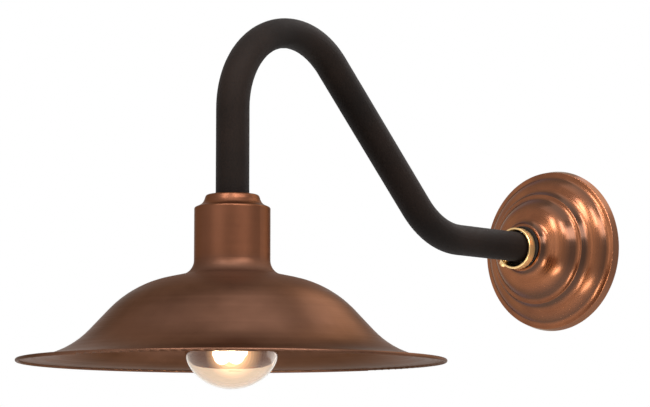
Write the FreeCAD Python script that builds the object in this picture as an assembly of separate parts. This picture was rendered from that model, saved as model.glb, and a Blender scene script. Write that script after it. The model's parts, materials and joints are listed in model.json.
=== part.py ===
import FreeCAD, Part
import math
import os

# Gooseneck wall sconce, in millimetres, +Z up.
# The wall is the plane Y = 0 and the fixture stands out from it towards -Y.
# The origin is the centre of the canopy's back edge, on the axis of the arm's wall end.
# Lengths called "out" are measured from the wall, and heights are measured from that axis.

# ---- shared by the small turned parts ----
edge_bevel = 0.5
screw_point_bevel = 0.3
screw_slot_share = 0.29      # width of a screw's slot as a share of the radius of its head
screw_slot_depth_share = 0.5
screw_neck_share = 0.89      # radius of a rolled screw's plain neck as a share of its thread's
running_clearance = 0.05
thread_clearance = 0.08

# ---- arm: steel pipe, bent twice ----
arm_outer_radius = 10.8
arm_wall = 2.9
arm_reach = 342.6            # from the wall to the axis of the shade
wall_straight = 112.0        # length from the wall to where the lower bend begins
lower_bend_radius = 66.0
rise_angle = 45.0            # slope of the long straight above the horizontal
crown_bend_radius = 56.0
crown_flattening = 0.09      # share by which the bend presses the pipe flat at the crown
crown_spread = 0.06          # share by which the pipe widens sideways there
crown_sections = 12
spigot_radius = 9.5          # the turned and threaded ends

# ---- shade: one spun copper sheet, from the step round the pipe to the rolled rim ----
shade_top = 11.7             # height of the flat on which the arm's shoulder stands
sheet = 1.0
step_radius = 16.95
step_rounding = 1.8
cove_radius = 18.9           # the cove below the step
cove_height = 5.9
cove_rounding = 6.0
neck_radius = 24.45
shoulder_height = 3.45
shoulder_rounding = 1.4
neck_foot_height = -38.07    # corner between the neck and the crown of the dome
neck_foot_rounding = 9.47
dome_radius = 63.61          # corner between the crown and the side of the dome
dome_height = -46.55
dome_rounding = 70.1
flare_radius = 106.61        # corner between the side and the brim
flare_height = -92.43
flare_rounding = 57.4
rim_radius = 135.9
rim_height = -93.6
rim_roll_radius = 1.15       # the edge is rolled under, round this radius

# ---- canopy: spun copper plate with two ripples ----
canopy_radius = 59.25
canopy_sheet = 1.0
canopy_clearance = 0.8       # round the arm
seat_height = 38.4           # how far out the flat seat for the gasket lies
seat_radius = 17.2
seat_rounding = 1.0
inner_lip_radius = 40.33
inner_lip_height = 20.1
outer_lip_height = 5.55
lip_rounding = 0.9
skirt_draft = 1.19           # how much wider the skirt is at the wall than at the outer lip
ripple_foot_rounding = 7.0
ripple_crest_rounding = 17.5
ripple_valley_rounding = 4.5
# the three corners of each ripple, as shares of its width and of its height, counted from its lower lip
inner_ripple_foot = (0.90, 0.757)
inner_ripple_crest = (0.40, 0.527)
inner_ripple_valley = (0.117, 0.032)
outer_ripple_foot = (0.848, 0.68)
outer_ripple_crest = (0.466, 0.464)
outer_ripple_valley = (0.213, 0.069)

# ---- gasket, slip collar and its screw ----
gasket_thickness = 1.4
gasket_clearance = 0.3       # round the arm
collar_rest_gap = 0.1        # the collar stands this far off the gasket
gasket_radius = 15.5
collar_width = 6.8
collar_radius = 14.95
collar_bore_radius = 13.35
collar_edge = 0.4
collar_offset = 1.6          # the screw draws the collar off the arm's axis by this much
collar_screw_angle = 220.0   # seen from the front, counted from +X towards +Z
collar_screw_radius = 1.45
collar_screw_head_radius = 2.6
collar_screw_head_height = 2.4
collar_screw_tip_gap = 0.3

# ---- crossbar: a bent steel strap across the junction box ----
crossbar_length = 104.0
crossbar_width = 25.0
crossbar_thickness = 2.5
bridge_height = 20.0         # how far out the face lies that the arm's shoulder meets
bridge_half_length = 21.0
bridge_leg_run = 3.0         # how far each leg leans outwards
crossbar_rounding = 3.0
box_screw_spacing = 88.9     # three and a half inches, as on an octagonal box
box_screw_radius = 2.05
box_screw_length = 18.0
box_screw_head_radius = 4.0
box_screw_head_height = 2.6
slot_length = 11.0
slot_clearance = 0.35
ground_screw_place = 32.5
lock_washer_thickness = 1.6
lock_washer_radius = 13.0
locknut_flats = 27.0
locknut_thickness = 4.5
spigot_past_nut = 1.0

# ---- lamp holder inside the neck ----
seal_thickness = 1.5
seal_radius = 14.5
cap_boss_radius = 13.5
cap_boss_foot = 4.5          # height where the boss meets the roof of the cap
cap_radius = 22.3
cap_shoulder = 2.6
cap_shoulder_rounding = 3.0
cap_cove_rounding = 1.5
cap_wall = 1.3
cap_skirt_foot = -8.0
roof_underside = 1.1
spigot_foot = 2.0
socket_radius = 20.6
socket_rim_height = 1.0
deck_height = -2.5           # the floor of the wiring space
deck_radius = 14.0
cavity_ceiling = -6.0
cavity_radius = 14.1
socket_foot = -33.0
socket_edge = 1.2
socket_screw_place = 17.3
socket_screw_radius = 1.6
socket_screw_head_radius = 2.7
socket_screw_head_height = 1.6
shell_clearance = 0.1
shell_thickness = 0.4
shell_foot = -31.5
shell_rounding = 1.0
shell_hole_radius = 6.0
contact_radius = 4.0
contact_thickness = 0.5
contact_button_radius = 2.4
contact_button_height = 0.7
terminal_place = 10.2
terminal_head_radius = 2.8
terminal_head_height = 1.7
terminal_shank_radius = 1.5
terminal_shank_length = 2.4

# ---- lamp: clear glass, 60 mm across, medium screw base ----
lamp_tip_gap = 0.3           # between the lamp's tip and the contact in the holder
lamp_length = 105.0
lamp_radius = 30.0
lamp_glass = 0.8
lamp_bottom_radius = 33.0    # the bottom is a little flatter than a ball
lamp_side_radius = 22.8
lamp_shoulder_radius = 30.0
lamp_shoulder_place = 67.7   # corner below the tip where the side turns in to the neck
lamp_neck_place = 49.8
lamp_neck_radius = 13.9
lamp_neck_rounding = 25.0
lamp_stub_radius = 12.3      # the end of the glass that the base is cemented to
lamp_stub_inside = 3.0       # how far it goes into the base
lamp_stub_outside = 1.5      # how far past the base it begins to widen
lamp_stub_rounding = 1.0
lamp_neck_start = 4.5        # how far past the base it reaches the neck's radius
lamp_neck_start_rounding = 3.0
base_radius = 13.1
base_thickness = 0.35
base_foot = 26.0             # counted down from the tip
base_head = 3.1
base_corner_rounding = 2.0
base_crimp = 0.7             # how far the base is turned in over the insulator
insulator_radius = 9.6
insulator_height = 2.4
insulator_plug = 2.0         # how far the insulator goes into the base
tip_radius = 4.6
tip_height = 0.7
tip_seat = 0.5               # how much wider the insulator's flat is than the tip
stem_radius = 4.0
stem_foot = 58.5
stem_flare_place = 8.0       # how far past the base the flare's edge lies
stem_flare_gap = 0.3
stem_flare_thickness = 0.8
stem_flare_length = 8.0
stem_press_length = 8.0
stem_press_share = 0.6       # radius of the pinched end as a share of the stem's
stem_rounding = 7.0
filament_place = 80.0        # counted down from the tip
filament_radius = 11.0
filament_wire = 0.45
filament_support_angle = 30.0  # how far each support stands from the middle of the half ring
lead_in_wire = 0.35
lead_in_place = 1.2          # how far each lead-in wire leaves the stem from its middle
lead_in_straight = 5.5       # length of its straight ends
lead_in_rounding = 3.5
support_wire = 0.25
support_straight = 8.0
support_rounding = 4.0

# ---- leads and connectors ----
lead_radius = 1.05
lead_spread = 4.0            # how far each lead lies from the middle of the pipe
lead_bend = 7.0
lead_bend_at_terminal = 4.0
lead_gap = 0.15              # between a lead's end and the head of its terminal screw
lead_end_height = 1.6        # height of that end over the floor of the wiring space
lead_corner_behind_wall = 0.6
lead_straight_at_mouth = 3.0
ground_lead_rise = 11.0      # length in which it comes out to the height of its connector
ground_connector_run = 14.0  # from the ground screw to the connector's mouth
connector_length = 19.0
connector_radius = 5.2
connector_wall = 1.5
connector_skirt = 5.0
connector_tip_radius = 3.4
connector_tip_bevel = 1.2
connector_bore_radius = 1.3
connector_bore_share = 0.7   # depth of the bore as a share of the length
connector_funnel = 4.0
connector_spacing = 15.0
connector_axis_out = 7.5     # how far out the connectors lie
connector_place = 21.0       # height of the mouths of the upper two

HOLE_EXTRA = 1.0             # cutters run past the faces that they cut by this much
ROUNDED_SHARE = 0.98         # the most of a straight run that its two roundings may take
SAME_POINT = 1e-4            # ends closer together than this need no edge between them
UP = FreeCAD.Vector(0, 0, 1)
OUT = FreeCAD.Vector(0, -1, 0)


# ======== outlines: straight runs joined by tangent arcs ========

def flat(radius, height):
    """A point of a lathe outline: radius along X and height along Z."""
    return FreeCAD.Vector(radius, 0, height)


def setbacks(corners, closed):
    """How far before and after each corner its arc or bevel begins, eased where two would meet."""
    count = len(corners)
    wanted = []
    for i, (point, radius) in enumerate(corners):
        inner = closed or 0 < i < count - 1
        if radius <= 0 or not inner:
            wanted.append(-radius if inner else 0.0)
            continue
        before = corners[i - 1][0] - point
        after = corners[(i + 1) % count][0] - point
        wanted.append(radius / math.tan(before.getAngle(after) / 2))
    eased = list(wanted)
    for i in range(count if closed else count - 1):
        j = (i + 1) % count
        room = ROUNDED_SHARE * (corners[j][0] - corners[i][0]).Length
        asked = wanted[i] + wanted[j]
        if asked > room:
            eased[i] = min(eased[i], wanted[i] * room / asked)
            eased[j] = min(eased[j], wanted[j] * room / asked)
    return eased


def tangent_run(corners, closed=False):
    """Edges through corners that are each a point and the radius of its rounding.

    A radius below zero is a straight bevel that starts so far from the corner.
    """
    count = len(corners)
    stops = []
    for i, setback in enumerate(setbacks(corners, closed)):
        point = corners[i][0]
        if setback <= 0:
            stops.append((point, None, point))
            continue
        before = (corners[i - 1][0] - point).normalize()
        after = (corners[(i + 1) % count][0] - point).normalize()
        half = before.getAngle(after) / 2
        radius = setback * math.tan(half)
        to_centre = (before + after).normalize()
        middle = point + to_centre * (radius / math.sin(half) - radius)
        enter = point + before * setback
        leave = point + after * setback
        if corners[i][1] > 0:
            rounding = Part.Arc(enter, middle, leave)
        else:
            rounding = Part.LineSegment(enter, leave)
        stops.append((enter, rounding.toShape(), leave))
    edges = []
    for i, (enter, rounding, leave) in enumerate(stops):
        if rounding is not None:
            edges.append(rounding)
        if i < count - 1 or closed:
            onward = stops[(i + 1) % count][0]
            if (onward - leave).Length > SAME_POINT:
                edges.append(Part.LineSegment(leave, onward).toShape())
    return edges


def beside(corners, distance):
    """The outline that runs at a distance to the right of another, with its roundings to match."""
    runs = []
    for (start, _), (end, _) in zip(corners, corners[1:]):
        along = (end - start).normalize()
        right = FreeCAD.Vector(along.z, 0, -along.x)
        runs.append((start + right * distance, along))
    moved = [level_end(runs[0], corners[0][0])]
    for i in range(1, len(runs)):
        (base, along), (next_base, next_along) = runs[i - 1], runs[i]
        turn = along.x * next_along.z - along.z * next_along.x
        gap = next_base - base
        reach = (gap.x * next_along.z - gap.z * next_along.x) / turn
        radius = corners[i][1]
        if radius > 0:
            radius = max(radius - distance if turn < 0 else radius + distance, 0.0)
        moved.append((base + along * reach, radius))
    moved.append(level_end(runs[-1], corners[-1][0]))
    return moved


def level_end(run, end):
    """An end of a parallel outline, slid along its run until it is level with the first outline's end."""
    base, along = run
    if abs(along.z) > abs(along.x):
        reach = (end.z - base.z) / along.z
    else:
        reach = (end.x - base.x) / along.x
    return (base + along * reach, 0.0)


def turned(corners):
    """A solid of revolution about Z from a closed outline."""
    face = Part.Face(Part.Wire(tangent_run(corners, closed=True)))
    return face.revolve(FreeCAD.Vector(0, 0, 0), UP, 360)


def spun(corners, wall):
    """A spun sheet: the outline is its outer skin and the wall lies to the right of it."""
    inner = beside(corners, wall)
    return turned(corners + list(reversed(inner)))


def ring(outer, inner, low, high, bevel=0.0):
    """A flat ring with its outer corners bevelled."""
    return turned([(flat(inner, low), 0), (flat(outer, low), -bevel),
                   (flat(outer, high), -bevel), (flat(inner, high), 0)])


def facing_out(shape):
    """Turns a lathe part so that its height runs out from the wall."""
    return shape.rotate(FreeCAD.Vector(0, 0, 0), FreeCAD.Vector(1, 0, 0), 90)


def under_shade(shape):
    """Moves a lathe part from the origin to the axis of the shade."""
    shape.translate(OUT * arm_reach)
    return shape


def aimed(shape, place, direction):
    """Puts a part that was made along +Z at a place, pointing in a direction."""
    shape.Placement = FreeCAD.Placement(place, FreeCAD.Rotation(UP, direction))
    return shape


def joined(shapes):
    """One compound of separate solids that share a node."""
    return Part.makeCompound(shapes)


# ======== fasteners ========

def slotted_screw(shank_radius, shank_length, head_radius, head_height, neck_length=0.0):
    """A pan-head screw: the head stands on Z = 0 and the shank hangs below it, after any plain neck."""
    outline = [(flat(0, -shank_length), 0), (flat(shank_radius, -shank_length), -screw_point_bevel),
               (flat(shank_radius, -neck_length), 0)]
    if neck_length > 0:
        neck_radius = shank_radius * screw_neck_share
        outline += [(flat(neck_radius, -neck_length), 0), (flat(neck_radius, 0), 0)]
    outline += [(flat(head_radius, 0), 0), (flat(head_radius, head_height), head_height / 2),
                (flat(0, head_height), 0)]
    screw = turned(outline)
    slot_width = head_radius * screw_slot_share
    slot_depth = head_height * screw_slot_depth_share
    slot = Part.makeBox(slot_width, 3 * head_radius, slot_depth + HOLE_EXTRA,
                        FreeCAD.Vector(-slot_width / 2, -1.5 * head_radius, head_height - slot_depth))
    return screw.cut(slot)


def hex_nut(flats, thickness, bore_radius):
    """A hexagon nut with turned corners, its flats facing along X."""
    corner = flats / math.sqrt(3)
    points = [FreeCAD.Vector(corner * math.sin(math.radians(60 * k)),
                             corner * math.cos(math.radians(60 * k)), 0) for k in range(7)]
    prism = Part.Face(Part.makePolygon(points)).extrude(UP * thickness)
    bevel = corner - flats / 2
    blank = turned([(flat(0, 0), 0), (flat(flats / 2, 0), 0), (flat(corner, bevel / 2), 0),
                    (flat(corner, thickness - bevel / 2), 0), (flat(flats / 2, thickness), 0),
                    (flat(0, thickness), 0)])
    bore = Part.makeCylinder(bore_radius, thickness + 2 * HOLE_EXTRA, UP * -HOLE_EXTRA)
    return prism.common(blank).cut(bore)


# ======== arm ========

def arm_corners(side=0.0):
    """The arm's centre line, or a line beside it: wall end, lower bend, crown, shade end."""
    rise = math.radians(rise_angle)
    lower = wall_straight + lower_bend_radius * math.tan(rise / 2)
    crown_height = (arm_reach - lower) * math.tan(rise)
    return [(FreeCAD.Vector(side, -bridge_height, 0), 0),
            (FreeCAD.Vector(side, -lower, 0), lower_bend_radius),
            (FreeCAD.Vector(side, -arm_reach, crown_height), crown_bend_radius),
            (FreeCAD.Vector(side, -arm_reach, shade_top), 0)]


def rod(path, radius):
    """A round bar along a path of straight runs and tangent arcs."""
    start = path.Edges[0].valueAt(path.Edges[0].FirstParameter)
    along = path.Edges[0].tangentAt(path.Edges[0].FirstParameter)
    section = Part.Face(Part.Wire(Part.makeCircle(radius, start, along)))
    return path.makePipe(section)


def crown(arc, radius_in_plane, radius_sideways):
    """The crown bend: round at both ends, and pressed oval in the middle of the bend."""
    sections = []
    first, last = arc.FirstParameter, arc.LastParameter
    for k in range(crown_sections + 1):
        share = k / crown_sections
        at = first + (last - first) * share
        pressed = math.sin(math.pi * share)
        half_height = radius_in_plane * (1 - crown_flattening * pressed)
        half_width = radius_sideways * (1 + crown_spread * pressed)
        oval = Part.Ellipse(FreeCAD.Vector(0, 0, 0), max(half_width, half_height), half_height).toShape()
        forward = arc.tangentAt(at)
        across = FreeCAD.Vector(1, 0, 0)
        turn = FreeCAD.Rotation(across, forward.cross(across), forward, "ZXY")
        oval.Placement = FreeCAD.Placement(arc.valueAt(at), turn)
        sections.append(Part.Wire(oval))
    return Part.makeLoft(sections, True, False)


def arm_bar(radius):
    """The arm as a solid bar of one radius, with its oval crown."""
    straight_out, lower_bend, diagonal, crown_arc, drop = tangent_run(arm_corners())
    bars = [rod(Part.Wire([straight_out]), radius), rod(Part.Wire([lower_bend]), radius),
            rod(Part.Wire([diagonal]), radius), crown(crown_arc, radius, radius),
            rod(Part.Wire([drop]), radius)]
    return bars[0].multiFuse(bars[1:])


def spigot_ends(radius, extra=0.0):
    """The turned-down ends of the arm: one through the crossbar, one into the lamp holder's cap."""
    wall_end = bridge_height - wall_spigot_out() + extra
    shade_end = shade_top - spigot_foot + extra
    wall = Part.makeCylinder(radius, wall_end, OUT * bridge_height, OUT * -1)
    shade = Part.makeCylinder(radius, shade_end, OUT * arm_reach + UP * shade_top, UP * -1)
    return wall, shade


def wall_spigot_out():
    """How far out the arm's wall end stops, just past its locknut."""
    stack = crossbar_thickness + lock_washer_thickness + locknut_thickness
    return bridge_height - stack - spigot_past_nut


def gooseneck_arm():
    wall, shade = spigot_ends(spigot_radius)
    outside = arm_bar(arm_outer_radius).multiFuse([wall, shade])
    bore_radius = arm_outer_radius - arm_wall
    wall_bore, shade_bore = spigot_ends(bore_radius, HOLE_EXTRA)
    return outside.cut(arm_bar(bore_radius).multiFuse([wall_bore, shade_bore]))


# ======== shade ========

def shade():
    outline = [(flat(spigot_radius + thread_clearance, shade_top), 0),
               (flat(step_radius, shade_top), step_rounding),
               (flat(cove_radius, cove_height), cove_rounding),
               (flat(neck_radius, shoulder_height), shoulder_rounding),
               (flat(neck_radius, neck_foot_height), neck_foot_rounding),
               (flat(dome_radius, dome_height), dome_rounding),
               (flat(flare_radius, flare_height), flare_rounding),
               (flat(rim_radius, rim_height), 0)]
    roll = Part.makeTorus(rim_radius, rim_roll_radius, FreeCAD.Vector(0, 0, rim_height - rim_roll_radius))
    return under_shade(spun(outline, sheet).fuse(roll))


# ======== canopy, gasket, collar ========

def ripple(upper, lower, foot, crest, valley):
    """Three corners between two lips; each is given as shares of the ripple's width and height."""
    width = lower.x - upper.x
    height = upper.z - lower.z
    radii = (ripple_foot_rounding, ripple_crest_rounding, ripple_valley_rounding)
    return [(flat(lower.x - width * across, lower.z + height * up), radius)
            for (across, up), radius in zip((foot, crest, valley), radii)]


def canopy():
    seat_edge = flat(seat_radius, seat_height)
    inner_lip = flat(inner_lip_radius, inner_lip_height)
    outer_lip = flat(canopy_radius - skirt_draft, outer_lip_height)
    bore = arm_outer_radius + canopy_clearance
    outline = [(flat(bore, seat_height), 0), (seat_edge, seat_rounding)]
    outline += ripple(seat_edge, inner_lip, inner_ripple_foot, inner_ripple_crest, inner_ripple_valley)
    outline.append((inner_lip, lip_rounding))
    outline += ripple(inner_lip, outer_lip, outer_ripple_foot, outer_ripple_crest, outer_ripple_valley)
    outline += [(outer_lip, lip_rounding), (flat(canopy_radius, 0), 0)]
    return facing_out(spun(outline, canopy_sheet))


def collar_gasket():
    bore = arm_outer_radius + gasket_clearance
    return facing_out(ring(gasket_radius, bore, seat_height, seat_height + gasket_thickness, edge_bevel))


def collar_screw_direction():
    angle = math.radians(collar_screw_angle)
    return FreeCAD.Vector(math.cos(angle), 0, math.sin(angle))


def collar_middle():
    """The middle of the collar's back face."""
    back = seat_height + gasket_thickness + collar_rest_gap
    return OUT * back + collar_screw_direction() * collar_offset


def slip_collar():
    edge = -collar_edge
    body = facing_out(turned([(flat(collar_bore_radius, 0), edge), (flat(collar_radius, 0), edge),
                              (flat(collar_radius, collar_width), edge),
                              (flat(collar_bore_radius, collar_width), edge)]))
    hole = Part.makeCylinder(collar_screw_radius + running_clearance, collar_radius + HOLE_EXTRA,
                             OUT * (collar_width / 2), collar_screw_direction())
    body = body.cut(hole)
    body.translate(collar_middle())
    return body


def collar_set_screw():
    tip = arm_outer_radius + collar_screw_tip_gap - collar_offset
    head = collar_radius + collar_screw_tip_gap
    screw = slotted_screw(collar_screw_radius, head - tip, collar_screw_head_radius, collar_screw_head_height)
    place = collar_middle() + OUT * (collar_width / 2) + collar_screw_direction() * head
    return aimed(screw, place, collar_screw_direction())


# ======== wall end ========

def crossbar():
    leg = bridge_half_length + bridge_leg_run
    half = crossbar_length / 2
    face = [(flat(-half, crossbar_thickness), 0), (flat(-leg, crossbar_thickness), crossbar_rounding),
            (flat(-bridge_half_length, bridge_height), crossbar_rounding),
            (flat(bridge_half_length, bridge_height), crossbar_rounding),
            (flat(leg, crossbar_thickness), crossbar_rounding), (flat(half, crossbar_thickness), 0)]
    back = beside(face, crossbar_thickness)
    outline = Part.Wire(tangent_run(face + list(reversed(back)), closed=True))
    strap = Part.Face(outline).extrude(FreeCAD.Vector(0, crossbar_width, 0))
    strap.translate(FreeCAD.Vector(0, -crossbar_width / 2, 0))
    through = bridge_height + 2 * HOLE_EXTRA
    cuts = [Part.makeCylinder(spigot_radius + thread_clearance, through, UP * -HOLE_EXTRA)]
    for side in (-1, 1):
        cuts.append(box_screw_slot(side * box_screw_spacing / 2, through))
    cuts.append(Part.makeCylinder(box_screw_radius + thread_clearance, through,
                                  FreeCAD.Vector(ground_screw_place, 0, -HOLE_EXTRA)))
    return facing_out(strap.cut(cuts))


def box_screw_slot(middle, depth):
    """A slot along the strap that a box screw can be moved in."""
    half_width = box_screw_radius + slot_clearance
    reach = slot_length / 2 - half_width
    ends = [Part.makeCylinder(half_width, depth, FreeCAD.Vector(middle + way * reach, 0, -HOLE_EXTRA))
            for way in (-1, 1)]
    bar = Part.makeBox(2 * reach, 2 * half_width, depth,
                       FreeCAD.Vector(middle - reach, -half_width, -HOLE_EXTRA))
    return bar.multiFuse(ends)


def box_screws():
    screws = []
    for side in (-1, 1):
        screw = slotted_screw(box_screw_radius, box_screw_length, box_screw_head_radius,
                              box_screw_head_height, neck_length=crossbar_thickness)
        place = OUT * crossbar_thickness + FreeCAD.Vector(side * box_screw_spacing / 2, 0, 0)
        screws.append(aimed(screw, place, OUT))
    return joined(screws)


def ground_screw():
    """The screw head stands off the strap by one lead, which it clamps."""
    lead = 2 * lead_radius
    screw = slotted_screw(box_screw_radius, lead + crossbar_thickness, box_screw_head_radius,
                          box_screw_head_height)
    place = OUT * (crossbar_thickness + lead) + FreeCAD.Vector(ground_screw_place, 0, 0)
    return aimed(screw, place, OUT)


def wall_lock_washer():
    washer = ring(lock_washer_radius, spigot_radius + thread_clearance, 0, lock_washer_thickness)
    return aimed(washer, OUT * (bridge_height - crossbar_thickness), OUT * -1)


def wall_locknut():
    nut = hex_nut(locknut_flats, locknut_thickness, spigot_radius + thread_clearance)
    nut = facing_out(nut)
    nut.translate(OUT * (wall_spigot_out() + spigot_past_nut))
    return nut


# ======== lamp holder ========

def shade_seal():
    top = shade_top - sheet
    return under_shade(ring(seal_radius, spigot_radius + thread_clearance, top - seal_thickness, top))


def socket_cap():
    top = shade_top - sheet - seal_thickness
    inside = cap_radius - cap_wall
    bore = spigot_radius + thread_clearance
    return under_shade(turned([(flat(bore, top), 0), (flat(cap_boss_radius, top), -edge_bevel),
                               (flat(cap_boss_radius, cap_boss_foot), cap_cove_rounding),
                               (flat(cap_radius, cap_shoulder), cap_shoulder_rounding),
                               (flat(cap_radius, cap_skirt_foot), 0), (flat(inside, cap_skirt_foot), 0),
                               (flat(inside, roof_underside), -edge_bevel),
                               (flat(bore, roof_underside), 0)]))


def socket_screw_holes(radius, low, high):
    return [Part.makeCylinder(radius, high - low, FreeCAD.Vector(side * socket_screw_place, 0, low))
            for side in (-1, 1)]


def socket_body():
    body = turned([(flat(0, deck_height), 0), (flat(deck_radius, deck_height), 0),
                   (flat(deck_radius, socket_rim_height), 0),
                   (flat(socket_radius, socket_rim_height), -edge_bevel),
                   (flat(socket_radius, socket_foot), socket_edge),
                   (flat(cavity_radius, socket_foot), -socket_edge / 2),
                   (flat(cavity_radius, cavity_ceiling), 0), (flat(0, cavity_ceiling), 0)])
    holes = socket_screw_holes(socket_screw_radius + running_clearance, socket_foot - HOLE_EXTRA,
                               socket_rim_height + HOLE_EXTRA)
    for side in (-1, 1):
        bottom = deck_height - terminal_shank_length - running_clearance
        holes.append(Part.makeCylinder(terminal_shank_radius + running_clearance, -bottom,
                                       FreeCAD.Vector(side * terminal_place, 0, bottom)))
    return under_shade(body.cut(holes))


def socket_screws():
    """Two long screws that clamp the porcelain to the cap; their heads are at its mouth."""
    length = roof_underside - socket_foot
    screws = []
    for side in (-1, 1):
        screw = slotted_screw(socket_screw_radius, length, socket_screw_head_radius, socket_screw_head_height)
        screws.append(aimed(screw, FreeCAD.Vector(side * socket_screw_place, 0, socket_foot), UP * -1))
    return under_shade(joined(screws))


def screw_shell():
    outer = cavity_radius - shell_clearance
    return under_shade(spun([(flat(shell_hole_radius, cavity_ceiling), 0),
                             (flat(outer, cavity_ceiling), shell_rounding), (flat(outer, shell_foot), 0)],
                            shell_thickness))


def centre_contact():
    button = contact_foot()
    plate = cavity_ceiling - contact_thickness
    return under_shade(turned([(flat(0, cavity_ceiling), 0), (flat(contact_radius, cavity_ceiling), 0),
                               (flat(contact_radius, plate), 0), (flat(contact_button_radius, plate), 0),
                               (flat(contact_button_radius, button), -edge_bevel), (flat(0, button), 0)]))


def contact_foot():
    return cavity_ceiling - contact_thickness - contact_button_height


def terminal_screw(side):
    screw = slotted_screw(terminal_shank_radius, terminal_shank_length, terminal_head_radius,
                          terminal_head_height)
    return under_shade(aimed(screw, FreeCAD.Vector(side * terminal_place, 0, deck_height), UP))


# ======== lamp ========

def below_tip(radius, down):
    """A point of the lamp's outline, with its height counted down from the tip of the base."""
    return flat(radius, contact_foot() - lamp_tip_gap - down)


def lamp_glass_bulb():
    """Pear-shaped bulb: the outline runs down the neck, round the side and in to the bottom."""
    bottom_turn = math.asin((lamp_radius - lamp_side_radius) / (lamp_bottom_radius - lamp_side_radius))
    bottom_corner = lamp_bottom_radius * math.tan(bottom_turn / 2)
    side_start = bottom_corner + bottom_corner * math.cos(bottom_turn)
    side_corner = (lamp_radius - side_start) * math.tan(bottom_turn) + bottom_corner * math.sin(bottom_turn)
    outline = [(below_tip(lamp_stub_radius, base_foot - lamp_stub_inside), 0),
               (below_tip(lamp_stub_radius, base_foot + lamp_stub_outside), lamp_stub_rounding),
               (below_tip(lamp_neck_radius, base_foot + lamp_neck_start), lamp_neck_start_rounding),
               (below_tip(lamp_neck_radius, lamp_neck_place), lamp_neck_rounding),
               (below_tip(lamp_radius, lamp_shoulder_place), lamp_shoulder_radius),
               (below_tip(lamp_radius, lamp_length - side_corner), lamp_side_radius),
               (below_tip(bottom_corner, lamp_length), lamp_bottom_radius),
               (below_tip(0, lamp_length), 0)]
    return under_shade(spun(outline, lamp_glass))


def lamp_base():
    return under_shade(spun([(below_tip(insulator_radius - base_crimp, base_head), 0),
                             (below_tip(base_radius, base_head), base_corner_rounding),
                             (below_tip(base_radius, base_foot), 0)], base_thickness))


def lamp_insulator():
    plug = insulator_radius - base_crimp - shell_clearance
    top = base_head - insulator_height
    foot = base_head + insulator_plug
    return under_shade(turned([(below_tip(0, top), 0), (below_tip(tip_radius + tip_seat, top), 0),
                               (below_tip(insulator_radius, base_head), 0), (below_tip(plug, base_head), 0),
                               (below_tip(plug, foot), 0), (below_tip(0, foot), 0)]))


def lamp_tip():
    return under_shade(turned([(below_tip(0, 0), 0), (below_tip(tip_radius, 0), -edge_bevel),
                               (below_tip(tip_radius, tip_height), 0), (below_tip(0, tip_height), 0)]))


def lamp_stem():
    """The glass stem inside the bulb: a flare at the neck, a tube and a tapered press."""
    flare_edge = lamp_neck_radius - lamp_glass - stem_flare_gap
    flare = base_foot + stem_flare_place
    return under_shade(turned([(below_tip(0, flare), 0), (below_tip(flare_edge, flare), 0),
                               (below_tip(flare_edge, flare + stem_flare_thickness), 0),
                               (below_tip(stem_radius, flare + stem_flare_length), stem_rounding),
                               (below_tip(stem_radius, stem_foot - stem_press_length), stem_rounding),
                               (below_tip(stem_radius * stem_press_share, stem_foot), edge_bevel),
                               (below_tip(0, stem_foot), 0)]))


def lamp_lead_in_wires():
    """Two stiff wires from the press to the ends of the filament."""
    wires = []
    for side in (-1, 1):
        corners = [(below_tip(side * lead_in_place, stem_foot), 0),
                   (below_tip(side * lead_in_place, stem_foot + lead_in_straight), lead_in_rounding),
                   (below_tip(side * filament_radius, filament_place - lead_in_straight), lead_in_rounding),
                   (below_tip(side * filament_radius, filament_place), 0)]
        wires.append(rod(Part.Wire(tangent_run(corners)), lead_in_wire))
    return under_shade(joined(wires))


def lamp_supports():
    """Two thin hooks that carry the middle of the filament."""
    wires = []
    for side in (-1, 1):
        angle = math.radians(filament_support_angle * side)
        outward = FreeCAD.Vector(math.sin(angle), -math.cos(angle), 0)
        reach = filament_radius - filament_wire - support_wire
        top = below_tip(0, stem_foot) + outward * lead_in_place
        knee = below_tip(0, stem_foot + support_straight) + outward * lead_in_place
        hook = below_tip(0, filament_place) + outward * reach
        wires.append(rod(Part.Wire(tangent_run([(top, 0), (knee, support_rounding), (hook, 0)])),
                         support_wire))
    return under_shade(joined(wires))


def lamp_filament():
    """A fine coil, drawn as the rod that it fills, in a half ring about the lamp's axis."""
    start = below_tip(-filament_radius, filament_place + filament_wire)
    end = below_tip(filament_radius, filament_place + filament_wire)
    middle = below_tip(0, filament_place + filament_wire) + OUT * filament_radius
    return under_shade(rod(Part.Wire([Part.Arc(start, middle, end).toShape()]), filament_wire))


# ======== leads and connectors ========

def arm_lead(side):
    """A lead from its terminal, through the arm, to its connector behind the canopy."""
    spread = side * lead_spread
    inside = arm_corners(spread)[1:3]
    beside_terminal = terminal_place - terminal_head_radius - lead_radius - lead_gap
    socket_end = OUT * arm_reach + FreeCAD.Vector(side * beside_terminal, 0, deck_height + lead_end_height)
    socket_corner = OUT * arm_reach + FreeCAD.Vector(spread, 0, spigot_foot)
    way = side * connector_spacing / 2
    wall_corner = FreeCAD.Vector(spread, lead_corner_behind_wall, 0)
    mouth = FreeCAD.Vector(way, -connector_axis_out, connector_place - lead_straight_at_mouth)
    end = FreeCAD.Vector(way, -connector_axis_out, connector_place + connector_length / 2)
    corners = [(socket_end, 0), (socket_corner, lead_bend_at_terminal)] + list(reversed(inside))
    corners += [(wall_corner, lead_bend), (mouth, lead_bend), (end, 0)]
    return corners


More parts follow.
